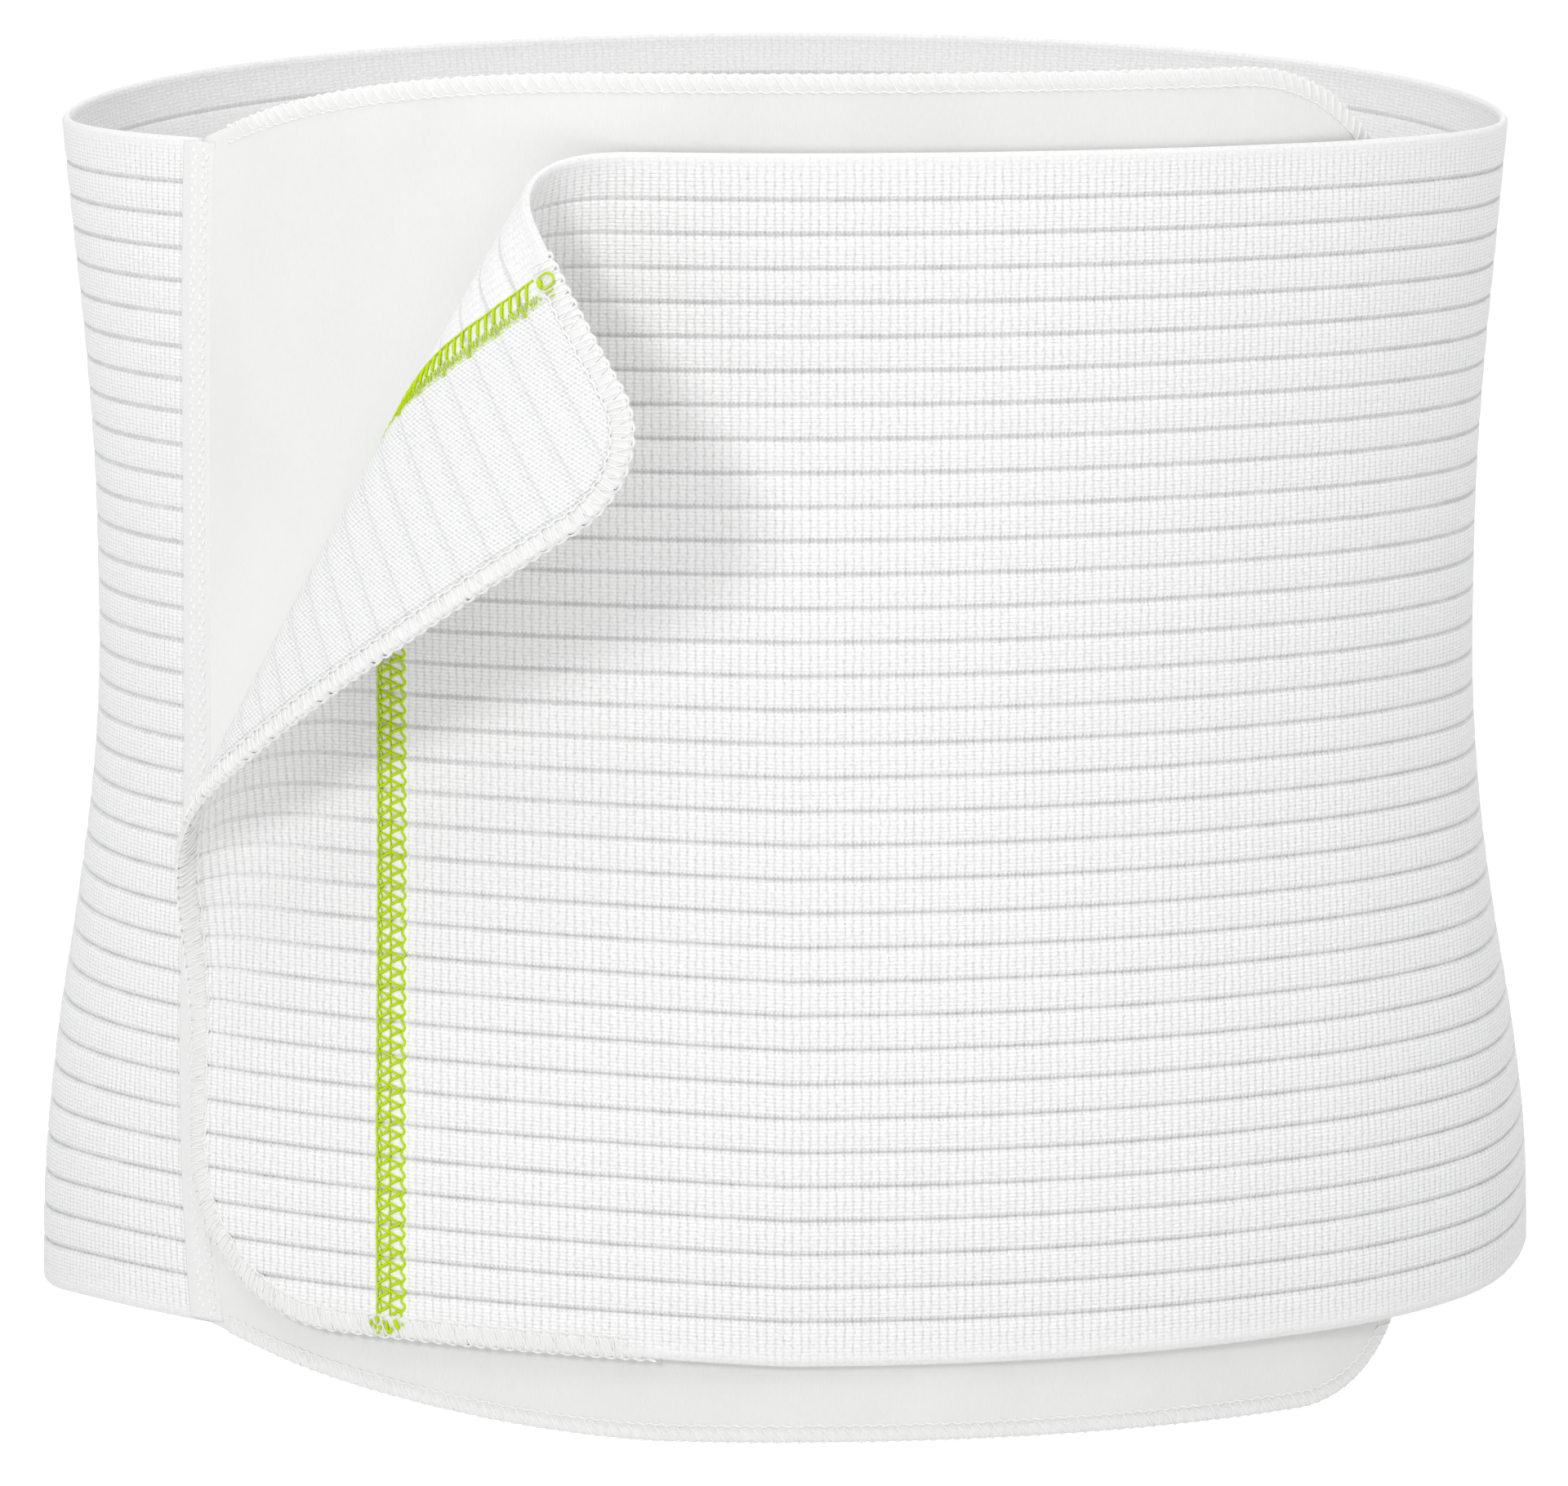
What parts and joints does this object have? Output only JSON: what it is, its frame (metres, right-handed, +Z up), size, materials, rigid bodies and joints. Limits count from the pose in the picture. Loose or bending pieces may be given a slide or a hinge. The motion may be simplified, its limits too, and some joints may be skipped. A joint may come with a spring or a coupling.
{
  "type": "abdominal binder",
  "caption": "Broad ribbed elastic waist band closed over a taller velour front panel, with bound edges, a lime flat seam and the corner of its hook flap peeled open.",
  "frame": {"origin": "middle of the hollow that holds the torso, half way up the elastic band", "axes": "+Z up along the torso, -Y towards the front with the closing flap, +X towards the viewer's right of the front"},
  "size_m": [0.3275, 0.2843, 0.284],
  "materials": {
    "elastic": "ribbed knit elastic, matt white",
    "velour": "brushed loop velour, soft white",
    "hook": "fine woven hook fastener, white",
    "white_thread": "overlock thread, slight sheen, white",
    "lime_thread": "flatlock thread, slight sheen, lime green"
  },
  "bodies": {
    "root": {"elastic_wrap": "elastic", "velour_panel": "velour", "panel_seam": "white_thread", "panel_overlock": "white_thread", "hook_patch": "hook", "flap_overlock": "white_thread", "lime_seam": "lime_thread", "lime_seam_back": "lime_thread"}
  },
  "joints": []
}
